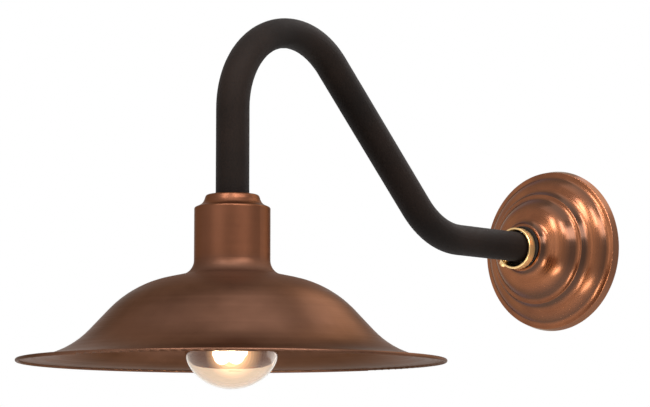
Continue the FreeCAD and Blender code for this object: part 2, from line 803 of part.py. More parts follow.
def ground_corners():
    """The ground lead: from its screw across the strap, then along behind the canopy."""
    out = crossbar_thickness + lead_radius
    turn = crossbar_width
    start = FreeCAD.Vector(ground_screw_place, -out, -box_screw_radius - lead_gap)
    corner = FreeCAD.Vector(ground_screw_place, -out, -turn)
    mouth = FreeCAD.Vector(ground_screw_place - ground_lead_rise, -connector_axis_out, -turn)
    end = FreeCAD.Vector(ground_connector_place() - connector_length / 2, -connector_axis_out, -turn)
    return [(start, 0), (corner, lead_bend), (mouth, lead_bend), (end, 0)]


def ground_connector_place():
    return ground_screw_place - ground_connector_run


def lead(corners):
    path = Part.Wire(tangent_run(corners))
    body = rod(path, lead_radius)
    expected = math.pi * lead_radius ** 2 * path.Length
    radii = [round(edge.Curve.Radius, 1) for edge in path.Edges if hasattr(edge.Curve, "Radius")]
    print("lead", round(path.Length, 1), "mm long, bends", radii, "volume ratio",
          round(body.Volume / expected, 5))
    return body


def wire_connector():
    """A twist-on connector: mouth at Z = 0, tip at the far end, with a narrowing bore."""
    mouth_bore = connector_radius - connector_wall
    depth = connector_length * connector_bore_share
    return turned([(flat(mouth_bore, 0), 0), (flat(connector_radius, 0), 0),
                   (flat(connector_radius, connector_skirt), 0),
                   (flat(connector_tip_radius, connector_length), -connector_tip_bevel),
                   (flat(0, connector_length), 0), (flat(0, depth), 0),
                   (flat(connector_bore_radius, depth), 0),
                   (flat(connector_bore_radius, connector_funnel), 0)])


def wire_connectors():
    upper = []
    for way in (-1, 1):
        place = FreeCAD.Vector(way * connector_spacing / 2, -connector_axis_out, connector_place)
        upper.append(aimed(wire_connector(), place, UP))
    ground = aimed(wire_connector(),
                   FreeCAD.Vector(ground_connector_place(), -connector_axis_out, -crossbar_width),
                   FreeCAD.Vector(-1, 0, 0))
    return joined(upper + [ground])


# ======== the whole fixture ========

parts = {
    "gooseneck_arm": gooseneck_arm(),
    "shade": shade(),
    "canopy": canopy(),
    "collar_gasket": collar_gasket(),
    "slip_collar": slip_collar(),
    "collar_set_screw": collar_set_screw(),
    "crossbar": crossbar(),
    "box_screws": box_screws(),
    "ground_screw": ground_screw(),
    "wall_lock_washer": wall_lock_washer(),
    "wall_locknut": wall_locknut(),
    "shade_seal": shade_seal(),
    "socket_cap": socket_cap(),
    "socket_body": socket_body(),
    "socket_screws": socket_screws(),
    "screw_shell": screw_shell(),
    "centre_contact": centre_contact(),
    "line_terminal_screw": terminal_screw(-1),
    "neutral_terminal_screw": terminal_screw(1),
    "lamp_glass_bulb": lamp_glass_bulb(),
    "lamp_base": lamp_base(),
    "lamp_insulator": lamp_insulator(),
    "lamp_tip": lamp_tip(),
    "lamp_stem": lamp_stem(),
    "lamp_lead_in_wires": lamp_lead_in_wires(),
    "lamp_supports": lamp_supports(),
    "lamp_filament": lamp_filament(),
    "line_lead": lead(arm_lead(-1)),
    "neutral_lead": lead(arm_lead(1)),
    "ground_lead": lead(ground_corners()),
    "wire_connectors": wire_connectors(),
}

os.makedirs("parts", exist_ok=True)
for name, shape in parts.items():
    shape.exportStep("parts/" + name + ".step")
    print(name, "solids", len(shape.Solids), "valid", shape.isValid(), "volume", round(shape.Volume, 1))
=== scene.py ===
import json
import math
import bmesh
import bpy
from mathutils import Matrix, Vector

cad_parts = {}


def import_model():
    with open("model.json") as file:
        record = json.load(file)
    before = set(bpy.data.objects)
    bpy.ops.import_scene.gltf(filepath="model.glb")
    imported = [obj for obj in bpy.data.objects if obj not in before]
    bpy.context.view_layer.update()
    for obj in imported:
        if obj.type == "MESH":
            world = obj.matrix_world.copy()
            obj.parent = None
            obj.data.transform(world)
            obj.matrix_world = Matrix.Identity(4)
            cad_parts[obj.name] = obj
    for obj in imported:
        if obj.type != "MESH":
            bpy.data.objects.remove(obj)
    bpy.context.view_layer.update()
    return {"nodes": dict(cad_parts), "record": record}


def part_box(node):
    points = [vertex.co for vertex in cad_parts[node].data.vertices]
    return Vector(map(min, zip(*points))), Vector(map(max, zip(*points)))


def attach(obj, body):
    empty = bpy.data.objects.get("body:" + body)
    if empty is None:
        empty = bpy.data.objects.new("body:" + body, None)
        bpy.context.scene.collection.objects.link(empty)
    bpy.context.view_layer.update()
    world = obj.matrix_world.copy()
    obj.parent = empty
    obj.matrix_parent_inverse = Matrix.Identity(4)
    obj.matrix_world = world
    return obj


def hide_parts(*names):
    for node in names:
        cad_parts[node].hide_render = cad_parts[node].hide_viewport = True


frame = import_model()
nodes = frame["nodes"]

# ======== places and sizes, in metres and degrees ========

MM = 0.001
ACROSS = Vector((1, 0, 0))
INTO_WALL = Vector((0, 1, 0))
UP = Vector((0, 0, 1))

lamp_base_low, lamp_base_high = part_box("lamp_base")
SHADE_AXIS = Vector((0, (lamp_base_low.y + lamp_base_high.y) / 2, 0))
CANOPY_CENTRE = Vector((0, 0, 0))
DOWN_THE_SHADE = (SHADE_AXIS, "Z")         # the axis of a turned piece: where it passes, which way it runs
OUT_OF_THE_WALL = (CANOPY_CENTRE, "Y")

# ---- where a finish changes ----
NECK_FOOT = -0.040           # height where the shade's neck meets its bowl
RED_COMES_IN = 0.010         # the neck's red begins this far below its foot
RED_IS_FULL = 0.014          # and is full this far above it
DULL_SHADED_BAND = 0.003            # the neck's foot is dull, and painted darker as painted shade in the crease, this far up and down
DULL_SHADED_BAND_FADE = 0.012       # and the dullness and the painted shade are gone this far from it
DULL_BAND_ROUGHNESS = 0.22   # what it adds
SKIRT_COMES_IN = 0.0560      # radius at which the canopy's skirt takes its own, lighter painted dark tone on its steep side
SKIRT_IS_FULL = 0.0575
PAINTED_DARK_STEEP = 0.55          # how squarely a place on the canopy faces out where its painted darkening, a painted dark reflection, is full
PAINTED_DARK_FLAT = 0.93           # and where there is none

# ---- lathe marks and grain ----
NOISE_LOW = 0.3              # nearly all of a noise lies between these two
NOISE_HIGH = 0.7
RING_DRIFT = 2.5             # how much the lathe's lines change on their way round
BROAD_RINGS = 0.14           # how fine the broad rings are, as a share of the lines' fineness
CLOUD_EDGE = 0.17            # a tone is pure where the clouds are this far from their middle value
TURNED_GLOSS_SWING = 0.05    # how much the lines make the roughness vary
LATHE_MARK_RISE = 0.00002
BRUSHED_ACROSS = 0.25        # a quarter turn, so that highlights run across the lines
GRAIN_CLOUDS = 18.0          # cloudy patches to the metre
GRAIN_PURE_DARK = 0.75       # sum of grain and cloud where a coat has its dark tone
GRAIN_PURE_LIGHT = 1.25
GRAIN_GLOSS_SWING = 0.06     # how much the grain makes the roughness vary

# ---- camera ----
CAMERA_AZIMUTH = 41.834
CAMERA_ELEVATION = -6.56
CAMERA_PLACE = Vector((1.1075, -1.4909, -0.1771))
CAMERA_LENS = 138.76         # millimetres, as is the sensor's width
CAMERA_SENSOR = 36.0
CAMERA_NEAR = 0.05
CAMERA_FAR = 30.0

# ---- studio ----
WHITE = (1.0, 1.0, 1.0)
ROOM_DIM = 0.06              # brightness of the studio on its dim side
ROOM_BRIGHT = 0.40           # and on its bright side
BRIGHT_WAY = Vector((0.745, 0.667, 0.0))
BRIGHTENS_FROM = -0.65       # how far a way points to the bright side where the studio begins to brighten
BRIGHTENS_TO = 0.45          # and where it is at its brightest
TOP_LIGHT = 0.42             # what a broad patch high over the wall adds
TOP_LIGHT_WAY = Vector((-0.214, 0.731, 0.649))
TOP_LIGHT_EDGE = 0.78        # how far a way points to the middle of the patch at its edge
FLOOR_HEIGHT = -1.4
FLOOR_HALF_WIDTH = 30.0
FLOOR_TONE = 0.68            # what the backdrop's paleness adds to the floor where it is seen
FLOOR_GRAIN = 0.004
SOFT_BOX_AIM = Vector((0, -0.2, 0))
SOFT_BOXES = (               # name, azimuth, elevation, distance, width, height, strength, colour
    ("above_left", 8, 42, 1.8, 0.34, 0.75, 21.0, (1.0, 0.97, 0.97)),
    ("above_camera", 52, 42, 1.8, 0.34, 0.75, 21.0, (1.0, 0.97, 0.97)),
    ("above_right", 78, 30, 1.8, 0.90, 0.70, 10.0, (1.0, 0.95, 0.92)),
    ("over_wall", 167, 16, 1.8, 2.00, 2.60, 1.2, WHITE),
    ("above_wall", 172, 44, 1.8, 1.50, 0.90, 1.6, WHITE),
    ("overhead", 60, 80, 1.8, 1.40, 1.40, 1.3, WHITE),
    ("left", 0, 8, 1.8, 1.00, 1.20, 0.9, WHITE),
    ("below_camera", 28, -39, 1.7, 0.70, 0.34, 14.0, (1.0, 0.95, 0.80)))

# ---- lamp ----
COLD_WIRES = ("lamp_lead_in_wires", "lamp_supports")
FILAMENT_RADIUS = 0.0110     # of the half ring
FILAMENT_COIL_RADIUS = 0.00036
FILAMENT_WIRE_RADIUS = 0.00009
FILAMENT_TURNS = 56
FILAMENT_TURN_POINTS = 10
GLOW_DROP = 0.0022           # how far the middle of the glow hangs under the filament
GLOW_COLOUR = (1.0, 0.88, 0.70)
HALO_COLOUR = (1.0, 0.66, 0.38)
GLOW_BEAD_PLACE = 0.85       # how far out the beads lie, as a share of the half ring's radius
GLOW_BEADS = (               # degrees round the filament, height over the glow's middle, radius, brightness
    (42, 0.0002, 0.0032, 3.0),
    (92, -0.0020, 0.0054, 3.0),
    (127, 0.0004, 0.0062, 3.0),
    (151, -0.0016, 0.0056, 3.0),
    (174, 0.0010, 0.0042, 3.0))
HALO_TURN = 125              # degrees round the filament where the haloes lie
HALO_PLACE = 0.35            # and how far out, as a share of its radius
HALOES = 7                   # balls round the whole filament, each wider and dimmer
HALO_START = 0.0090          # radius of the first
HALO_STEP = 0.0024
HALO_BRIGHTNESS = 0.55
HALO_FADE = 0.72             # brightness of each as a share of the one before
HALO_SHIFT = 0.0004          # each lies this far behind the one before
LAMP_CORE_RADIUS = 0.0030
LAMP_CORE_BRIGHTNESS = 2200.0

# ---- screws into the wall box ----
box_studs = frame["record"]["mounts"][0]["dims"]
BOX_SCREW_PLACE = box_studs["pcd_mm"] * MM / 2
BOX_SCREW_RADIUS = box_studs["stud_r_mm"] * MM
BOX_SCREW_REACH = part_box("box_screws")[1].y
WALL_PLANE = 0.00002         # the solids' plain neck ends at the wall, within this, and the thread begins
THREAD_PITCH = 0.00079
THREAD_DEPTH = 0.00042
THREAD_TAPER = 0.6           # how fast the last turn narrows
THREAD_TURN_RINGS = 6
THREAD_SIDES = 24

# ---- twist-on connectors ----
CONNECTOR_LENGTH = 0.019
CONNECTOR_RADIUS = 0.0052
CONNECTOR_TIP_RADIUS = 0.0034
CONNECTOR_TIP_FLAT = 0.7     # radius of the tip's flat end as a share of the tip's radius
CONNECTOR_TIP_BEVEL = 0.0012
CONNECTOR_MOUTH_RADIUS = 0.0037
CONNECTOR_MOUTH_BEVEL = 0.0004
CONNECTOR_MOUTH_EDGE = 0.97  # radius of the mouth's outer edge as a share of the connector's
CONNECTOR_BORE_RADIUS = 0.0013
CONNECTOR_BORE_DEPTH = 0.004
CONNECTOR_SKIRT = 0.005      # length without ribs
CONNECTOR_GRIP_RINGS = 8
CONNECTOR_RIBS = 14
CONNECTOR_RIB_DEPTH = 0.08   # as a share of the radius
CONNECTOR_RIB_POINTS = 6
CONNECTORS = (               # middle of the mouth, and the way from it to the tip
    (Vector((-0.0075, -0.0075, 0.021)), UP),
    (Vector((0.0075, -0.0075, 0.021)), UP),
    (Vector((0.0185, -0.0075, -0.025)), -ACROSS))

SHARP_EDGE = 50              # two faces that meet at more than this angle keep a sharp edge


def way_to(azimuth, elevation):
    """The way from the fixture to a place at that azimuth and elevation."""
    turn = math.radians(azimuth)
    rise = math.radians(elevation)
    return Vector((math.sin(turn) * math.cos(rise), -math.cos(turn) * math.cos(rise), math.sin(rise)))


def into_scene(name, data):
    """A new object that holds a mesh, a curve, a light or a camera."""
    made = bpy.data.objects.new(name, data)
    bpy.context.scene.collection.objects.link(made)
    return made


# ======== node building ========

def feed(tree, socket, value):
    """Links a socket to another node's result, or sets it to a plain value."""
    if isinstance(value, bpy.types.NodeSocket):
        tree.links.new(value, socket)
    else:
        socket.default_value = value


def put(tree, kind, inputs=None, **settings):
    """Adds a node, sets its options and feeds its inputs."""
    made = tree.nodes.new(kind)
    for name, value in settings.items():
        setattr(made, name, value)
    for name, value in (inputs or {}).items():
        feed(tree, made.inputs[name], value)
    return made


def sums(tree, operation, *terms):
    """One step of arithmetic, as its result."""
    inputs = {place: term for place, term in enumerate(terms)}
    return put(tree, "ShaderNodeMath", inputs, operation=operation).outputs[0]


def on_vectors(tree, operation, *terms):
    """One step of arithmetic on vectors; its result is a vector or a number."""
    inputs = {place: term for place, term in enumerate(terms)}
    outputs = put(tree, "ShaderNodeVectorMath", inputs, operation=operation).outputs
    return outputs["Value"] if operation in ("DOT_PRODUCT", "LENGTH") else outputs["Vector"]


def split(tree, vector):
    """The X, Y and Z of a vector."""
    return put(tree, "ShaderNodeSeparateXYZ", {0: vector}).outputs


def blended(tree, share, first, second):
    """A colour between two colours."""
    made = put(tree, "ShaderNodeMix", {0: share, 6: first, 7: second}, data_type="RGBA")
    return made.outputs[2]


def between(tree, value, low, high, new_low, new_high):
    """A value moved from one range to another, and kept inside it."""
    inputs = {"Value": value, "From Min": low, "From Max": high, "To Min": new_low, "To Max": new_high}
    return put(tree, "ShaderNodeMapRange", inputs).outputs["Result"]


def from_noise(tree, value, low, high):
    """A noise's value, spread over another range."""
    return between(tree, value, NOISE_LOW, NOISE_HIGH, low, high)


def seen(tree):
    """1 for what the eye sees, straight or by way of metal or glass, and 0 for light on matt surfaces."""
    ray = put(tree, "ShaderNodeLightPath").outputs
    straight_or_through = sums(tree, "MAXIMUM", ray["Is Camera Ray"], ray["Is Transmission Ray"])
    return sums(tree, "MAXIMUM", straight_or_through, ray["Is Glossy Ray"])


def bumped(tree, height, strength, rise):
    """A normal that follows a height; rise is that of its highest places, in metres, at strength 1."""
    inputs = {"Height": height, "Strength": strength, "Distance": rise}
    return put(tree, "ShaderNodeBump", inputs).outputs["Normal"]


def on_axis(tree, place, axis):
    """Places measured from the axis of a turned piece, with that axis as Z."""
    middle, along = axis
    turn = (math.radians(90), 0, 0) if along == "Y" else (0, 0, 0)
    moved = on_vectors(tree, "SUBTRACT", place, middle)
    inputs = {"Vector": moved, "Rotation": turn}
    return put(tree, "ShaderNodeVectorRotate", inputs, rotation_type="EULER_XYZ").outputs[0]


# ---- the two effects that several materials share ----

def new_group(name, inputs, outputs):
    """A shader node group with named number and vector sockets."""
    tree = bpy.data.node_groups.new(name, "ShaderNodeTree")
    kinds = {"number": "NodeSocketFloat", "vector": "NodeSocketVector"}
    for label, kind in inputs:
        tree.interface.new_socket(name=label, in_out="INPUT", socket_type=kinds[kind])
    for label in outputs:
        tree.interface.new_socket(name=label, in_out="OUTPUT", socket_type=kinds["number"])
    return tree, put(tree, "NodeGroupInput").outputs, put(tree, "NodeGroupOutput").inputs


def noise(tree, place, scale, detail, roughness):
    """A noise over the surface, from 0 to 1."""
    inputs = {"Vector": place, "Scale": scale, "Detail": detail, "Roughness": roughness}
    return put(tree, "ShaderNodeTexNoise", inputs).outputs["Fac"]


def lathe_lines_group():
    """Fine lines left round a turned or spun piece; the piece's axis is Z of the vector that goes in."""
    tree, given, out = new_group("lathe_lines", (("Place", "vector"), ("Spacing", "number"),
                                                 ("Patches", "number")), ("Lines", "Broad", "Patch"))
    place = split(tree, given["Place"])
    across = sums(tree, "POWER", place["X"], 2.0)
    along = sums(tree, "POWER", place["Y"], 2.0)
    radius = sums(tree, "SQRT", sums(tree, "ADD", across, along))
    turn = sums(tree, "ARCTAN2", place["Y"], place["X"])
    half_turn = sums(tree, "ABSOLUTE", sums(tree, "DIVIDE", turn, math.pi))
    fine = put(tree, "ShaderNodeCombineXYZ", {
        "X": sums(tree, "DIVIDE", radius, given["Spacing"]),
        "Y": sums(tree, "MULTIPLY", half_turn, RING_DRIFT),
        "Z": sums(tree, "DIVIDE", place["Z"], given["Spacing"])}).outputs[0]
    wide = put(tree, "ShaderNodeVectorMath", {0: fine, "Scale": BROAD_RINGS}, operation="SCALE").outputs[0]
    feed(tree, out["Lines"], noise(tree, fine, scale=1.0, detail=2.0, roughness=0.6))
    feed(tree, out["Broad"], noise(tree, wide, scale=1.0, detail=3.0, roughness=0.5))
    feed(tree, out["Patch"], noise(tree, given["Place"], given["Patches"], detail=4.0, roughness=0.55))
    return tree


def fine_grain_group():
    """The fine even grain of a powder coat, a moulding or a casting, with faint cloudy patches."""
    tree, given, out = new_group("fine_grain", (("Place", "vector"), ("Size", "number")), ("Grain", "Cloud"))
    grains_to_the_metre = sums(tree, "DIVIDE", 1.0, given["Size"])
    feed(tree, out["Grain"], noise(tree, given["Place"], grains_to_the_metre, detail=3.0, roughness=0.65))
    feed(tree, out["Cloud"], noise(tree, given["Place"], GRAIN_CLOUDS, detail=3.0, roughness=0.5))
    return tree


LATHE_LINES = lathe_lines_group()
FINE_GRAIN = fine_grain_group()


# ======== materials ========

def start_material(name):
    """A material with its Principled shader and the place of each point in the fixture."""
    material = bpy.data.materials.new(name)
    material.use_nodes = True
    tree = material.node_tree
    shader = tree.nodes["Principled BSDF"]
    place = put(tree, "ShaderNodeTexCoord").outputs["Object"]
    return material, tree, shader, place


def marks_from(tree, group, **inputs):
    """The marks that a group puts over a surface."""
    return put(tree, "ShaderNodeGroup", inputs, node_tree=group).outputs


def set_shader(tree, shader, **inputs):
    """Feeds the shader's sockets; underscores stand for spaces in their names."""
    for name, value in inputs.items():
        feed(tree, shader.inputs[name.replace("_", " ")], value)


def turned_metal(name, axis, light, dark, rough, spacing=0.0005, lines=0.25, patches=22.0, streaks=0.5,
                 edge=(1, 1, 1, 1), brushed=0.3, lacquer=0.0, lacquer_rough=0.15, tone=None):
    """Metal with fine lines left by the lathe, and a colour that clouds between two tones.

    spacing is the distance between lines, lines is how deep they look, patches is how many clouds there are
    to the metre and streaks how much broad rings join them. edge tints the metal where it is seen edge on,
    brushed draws its highlights out, and tone changes the colour and roughness from place to place.
    """
    material, tree, shader, place = start_material(name)
    marks = marks_from(tree, LATHE_LINES, Place=on_axis(tree, place, axis), Spacing=spacing, Patches=patches)
    clouds = sums(tree, "ADD", marks["Patch"], sums(tree, "MULTIPLY", marks["Broad"], streaks))
    middle = 0.5 + 0.5 * streaks
    share = between(tree, clouds, middle - CLOUD_EDGE, middle + CLOUD_EDGE, 0.0, 1.0)
    colour = blended(tree, share, dark, light)
    roughness = from_noise(tree, marks["Lines"], rough - TURNED_GLOSS_SWING, rough + TURNED_GLOSS_SWING)
    if tone:
        colour, roughness = tone(tree, place, share, colour, roughness)
    round_axis = put(tree, "ShaderNodeTangent", direction_type="RADIAL", axis=axis[1]).outputs[0]
    set_shader(tree, shader, Base_Color=colour, Metallic=1.0, Roughness=roughness, Specular_Tint=edge,
               Coat_Weight=lacquer, Coat_Roughness=lacquer_rough,
               Anisotropic=brushed, Anisotropic_Rotation=BRUSHED_ACROSS, Tangent=round_axis,
               Normal=bumped(tree, marks["Lines"], lines, LATHE_MARK_RISE))
    return material


def redder_neck_and_shaded_foot(tree, place, share, colour, roughness):
    """The neck of the shade kept more of the copper's red than the bowl did; its foot is dull, and painted
    darker as painted shade in the crease.
    """
    height = split(tree, place)["Z"]
    neck = between(tree, height, NECK_FOOT - RED_COMES_IN, NECK_FOOT + RED_IS_FULL, 0.0, 1.0)
    red = blended(tree, share, (0.095, 0.036, 0.018, 1), (0.130, 0.050, 0.026, 1))
    colour = blended(tree, neck, colour, red)
    from_foot = sums(tree, "ABSOLUTE", sums(tree, "SUBTRACT", height, NECK_FOOT))
    dull_and_shaded = between(tree, from_foot, DULL_SHADED_BAND, DULL_SHADED_BAND_FADE, 1.0, 0.0)
    # painted shade: the crease at the neck's foot gets a darker colour
    colour = blended(tree, dull_and_shaded, colour, (0.084, 0.040, 0.025, 1))
    return colour, sums(tree, "ADD", roughness, sums(tree, "MULTIPLY", dull_and_shaded, DULL_BAND_ROUGHNESS))


def steep_sides_painted_dark(tree, place, share, colour, roughness):
    """The steep sides of the canopy's ripples are painted darker, as a painted dark reflection of their
    surroundings; the skirt gets a lighter painted tone.
    """
    facing = split(tree, put(tree, "ShaderNodeTexCoord").outputs["Normal"])
    faces_out_share = between(tree, sums(tree, "ABSOLUTE", facing["Y"]), PAINTED_DARK_STEEP, PAINTED_DARK_FLAT, 0.0, 1.0)
    in_wall_plane = on_vectors(tree, "MULTIPLY", place, (1, 0, 1))
    radius = on_vectors(tree, "LENGTH", in_wall_plane)
    skirt = between(tree, radius, SKIRT_COMES_IN, SKIRT_IS_FULL, 0.0, 1.0)
    # painted reflection: dark tones for the steep sides, a lighter one on the skirt
    painted_dark_tone = blended(tree, skirt, (0.056, 0.022, 0.010, 1), (0.140, 0.052, 0.023, 1))
    return blended(tree, faces_out_share, painted_dark_tone, colour), roughness


def shade_copper():
    return turned_metal("shade_copper", DOWN_THE_SHADE, light=(0.130, 0.062, 0.039, 1),
                        dark=(0.066, 0.030, 0.018, 1), rough=0.38, spacing=0.0006, lines=0.22, patches=12.0,
                        streaks=0.15, edge=(0.54, 0.47, 0.43, 1), brushed=0.0, lacquer=0.04,
                        lacquer_rough=0.34, tone=redder_neck_and_shaded_foot)


def canopy_copper():
    return turned_metal("canopy_copper", OUT_OF_THE_WALL, light=(0.265, 0.090, 0.033, 1),
                        dark=(0.155, 0.049, 0.017, 1), rough=0.26, spacing=0.0010, lines=0.0, patches=26.0,
                        streaks=0.25, edge=(0.58, 0.42, 0.27, 1), brushed=0.6, lacquer=0.34,
                        lacquer_rough=0.21, tone=steep_sides_painted_dark)


def satin_brass():
    return turned_metal("satin_brass", OUT_OF_THE_WALL, light=(0.88, 0.60, 0.28, 1),
                        dark=(0.70, 0.45, 0.19, 1), rough=0.34, spacing=0.0003, lines=0.3)


def zinc_plate():
    return turned_metal("zinc_plate", OUT_OF_THE_WALL, light=(0.44, 0.44, 0.43, 1),
                        dark=(0.28, 0.29, 0.29, 1), rough=0.30, spacing=0.0004, lines=0.2)


def shell_brass():
    return turned_metal("shell_brass", DOWN_THE_SHADE, light=(0.72, 0.46, 0.18, 1),
                        dark=(0.55, 0.34, 0.13, 1), rough=0.22, spacing=0.0004)


def nickel():
    return turned_metal("nickel", DOWN_THE_SHADE, light=(0.66, 0.63, 0.57, 1),
                        dark=(0.50, 0.48, 0.44, 1), rough=0.22, spacing=0.0004)


def base_metal():
    return turned_metal("base_metal", DOWN_THE_SHADE, light=(0.68, 0.67, 0.64, 1),
                        dark=(0.52, 0.51, 0.48, 1), rough=0.28, spacing=0.0004)


def solder():
    return turned_metal("solder", DOWN_THE_SHADE, light=(0.55, 0.55, 0.56, 1),
                        dark=(0.40, 0.40, 0.41, 1), rough=0.35, spacing=0.0006)


def drawn_wire():
    return turned_metal("drawn_wire", DOWN_THE_SHADE, light=(0.35, 0.33, 0.31, 1),
                        dark=(0.22, 0.21, 0.20, 1), rough=0.35, spacing=0.0003)


def grained(name, light, dark, rough, size, strength, specular=0.5, rise=0.0001):
    """Paint, rubber, plastic or glaze with a fine grain; size is that of a grain."""
    material, tree, shader, place = start_material(name)
    marks = marks_from(tree, FINE_GRAIN, Place=place, Size=size)
    both = sums(tree, "ADD", marks["Grain"], marks["Cloud"])
    share = between(tree, both, GRAIN_PURE_DARK, GRAIN_PURE_LIGHT, 0.0, 1.0)
    roughness = from_noise(tree, marks["Grain"], rough - GRAIN_GLOSS_SWING, rough + GRAIN_GLOSS_SWING)
    set_shader(tree, shader, Base_Color=blended(tree, share, dark, light), Metallic=0.0,
               Roughness=roughness, Specular_IOR_Level=specular,
               Normal=bumped(tree, marks["Grain"], strength, rise))
    return material


def black_powder_coat():
    return grained("black_powder_coat", light=(0.0116, 0.0070, 0.0052, 1), dark=(0.0034, 0.0021, 0.0016, 1),
                   rough=0.64, size=0.0011, strength=0.90, specular=0.08, rise=0.00028)


def black_rubber():
    return grained("black_rubber", light=(0.012, 0.009, 0.008, 1), dark=(0.006, 0.005, 0.004, 1),
                   rough=0.75, size=0.0006, strength=0.3, specular=0.15)


def green_paint():
    return grained("green_paint", light=(0.02, 0.20, 0.06, 1), dark=(0.01, 0.12, 0.04, 1),
                   rough=0.35, size=0.0008, strength=0.2)


def porcelain():
    return grained("porcelain", light=(0.84, 0.82, 0.78, 1), dark=(0.74, 0.72, 0.67, 1),
                   rough=0.14, size=0.002, strength=0.1)


def black_glass():
    return grained("black_glass", light=(0.02, 0.02, 0.024, 1), dark=(0.01, 0.01, 0.012, 1),
                   rough=0.10, size=0.002, strength=0.1)


def wire_insulation(name, light, dark):
    return grained(name, light, dark, rough=0.32, size=0.001, strength=0.15)


def orange_plastic():
    return grained("orange_plastic", light=(0.78, 0.24, 0.03, 1), dark=(0.62, 0.18, 0.02, 1),
                   rough=0.30, size=0.001, strength=0.2)


def lamp_glass():
    """Clear glass with a warm tint; the light of the filament passes through it with hardly a shadow."""
    material, tree, shader, place = start_material("lamp_glass")
    marks = marks_from(tree, FINE_GRAIN, Place=place, Size=0.012)
    set_shader(tree, shader, Base_Color=(0.90, 0.76, 0.62, 1), Metallic=0.0, Transmission_Weight=1.0,
               IOR=1.45, Roughness=from_noise(tree, marks["Cloud"], 0.0, 0.02))
    through = put(tree, "ShaderNodeBsdfTransparent", {"Color": (0.96, 0.92, 0.86, 1)}).outputs[0]
    shadow = put(tree, "ShaderNodeLightPath").outputs["Is Shadow Ray"]
    both = put(tree, "ShaderNodeMixShader", {0: shadow, 1: shader.outputs[0], 2: through}).outputs[0]
    feed(tree, tree.nodes["Material Output"].inputs["Surface"], both)
    return material


def glowing_wire():
    """The white-hot wire of the filament, hotter in some places than in others."""
    material, tree, shader, place = start_material("glowing_wire")
    marks = marks_from(tree, FINE_GRAIN, Place=place, Size=0.004)
    heat = blended(tree, marks["Cloud"], (1.0, 0.62, 0.28, 1), (1.0, 0.85, 0.60, 1))
    set_shader(tree, shader, Base_Color=(0.2, 0.2, 0.2, 1), Roughness=0.5,
               Emission_Color=heat, Emission_Strength=30.0)
    return material


MATERIALS = {
    "black_powder_coat": black_powder_coat(),
    "shade_copper": shade_copper(),
    "canopy_copper": canopy_copper(),
    "satin_brass": satin_brass(),
    "zinc_plated_steel": zinc_plate(),
    "clear_glass": lamp_glass(),
    "black_rubber": black_rubber(),
    "green_screw": green_paint(),
    "white_porcelain": porcelain(),
    "black_glass": black_glass(),
    "black_insulation": wire_insulation("black_lead", (0.02, 0.02, 0.02, 1), (0.01, 0.01, 0.01, 1)),
    "white_insulation": wire_insulation("white_lead", (0.80, 0.79, 0.76, 1), (0.70, 0.69, 0.65, 1)),
    "green_insulation": wire_insulation("green_lead", (0.02, 0.22, 0.06, 1), (0.01, 0.14, 0.04, 1)),
    "connector_plastic": orange_plastic(),
    "shell_brass": shell_brass(),
    "nickel_steel": nickel(),
    "base_metal": base_metal(),
    "solder": solder(),
    "tungsten_wire": glowing_wire(),
}


def dress_nodes():
    """Gives every node of the fixture the material of its slot; only the filament's wire glows."""
    cold = drawn_wire()
    for entry in frame["record"]["subparts"]:
        piece = nodes[entry["node"]]
        material = cold if entry["node"] in COLD_WIRES else MATERIALS[entry["material_slot"]]
        piece.data.materials.clear()
        piece.data.materials.append(material)


# ======== pieces with more detail than the solids ========

def finish_piece(name, data, body, node, slot):
    """Places a piece in the scene, in the body and the finish of the node that it stands for."""
    made = into_scene(name, data)
    data.materials.append(MATERIALS[slot])
    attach(made, body)
    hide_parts(node)


# ---- filament ----

def filament_middle():
    """The middle of the filament's half ring."""
    low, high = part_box("lamp_filament")
    return SHADE_AXIS + UP * (low.z + high.z) / 2


def on_filament(degrees):
    """The way from the middle of the filament's half ring to a place on it."""
    angle = math.radians(degrees)
    return Vector((-math.cos(angle), -math.sin(angle), 0))


def filament_coil():
    """The filament's fine coil, bent to the half ring that the stiff rod of the solids fills."""
    curve = bpy.data.curves.new("filament_coil", "CURVE")
    curve.dimensions = "3D"
    curve.bevel_depth = FILAMENT_WIRE_RADIUS
    curve.bevel_resolution = 1
    steps = FILAMENT_TURNS * FILAMENT_TURN_POINTS
    line = curve.splines.new("POLY")
    line.points.add(steps)
    middle = filament_middle()
    for step, point in enumerate(line.points):
        out = on_filament(180 * step / steps)
        turn = 2 * math.pi * FILAMENT_TURNS * step / steps
        place = middle + out * (FILAMENT_RADIUS + FILAMENT_COIL_RADIUS * math.cos(turn))
        place.z += FILAMENT_COIL_RADIUS * math.sin(turn)
        point.co = (*place, 1)
    finish_piece("filament_coil", curve, "lamp", "lamp_filament", "tungsten_wire")


# ---- meshes made of rings ----

def ring_of(middle, first, second, radii):
    """Points round a middle, each at its own radius."""
    count = len(radii)
    points = []
    for place, radius in enumerate(radii):
        angle = 2 * math.pi * place / count
        points.append(middle + radius * (first * math.cos(angle) + second * math.sin(angle)))
    return points


def skin(form, rings):
    """Faces through a row of rings, closed at both ends."""
    rows = [[form.verts.new(point) for point in ring] for ring in rings]
    for before, after in zip(rows, rows[1:]):
        for place in range(len(before)):
            form.faces.new((before[place - 1], before[place], after[place], after[place - 1]))
    form.faces.new(rows[0])
    form.faces.new(rows[-1])


def mesh_from(form, name):
    """A smooth mesh with sharp edges, all of whose faces look outwards."""
    bmesh.ops.recalc_face_normals(form, faces=form.faces)
    mesh = bpy.data.meshes.new(name)
    form.to_mesh(mesh)
    form.free()
    mesh.shade_smooth()
    mesh.set_sharp_from_angle(angle=math.radians(SHARP_EDGE))
    return mesh


# ---- box screws ----

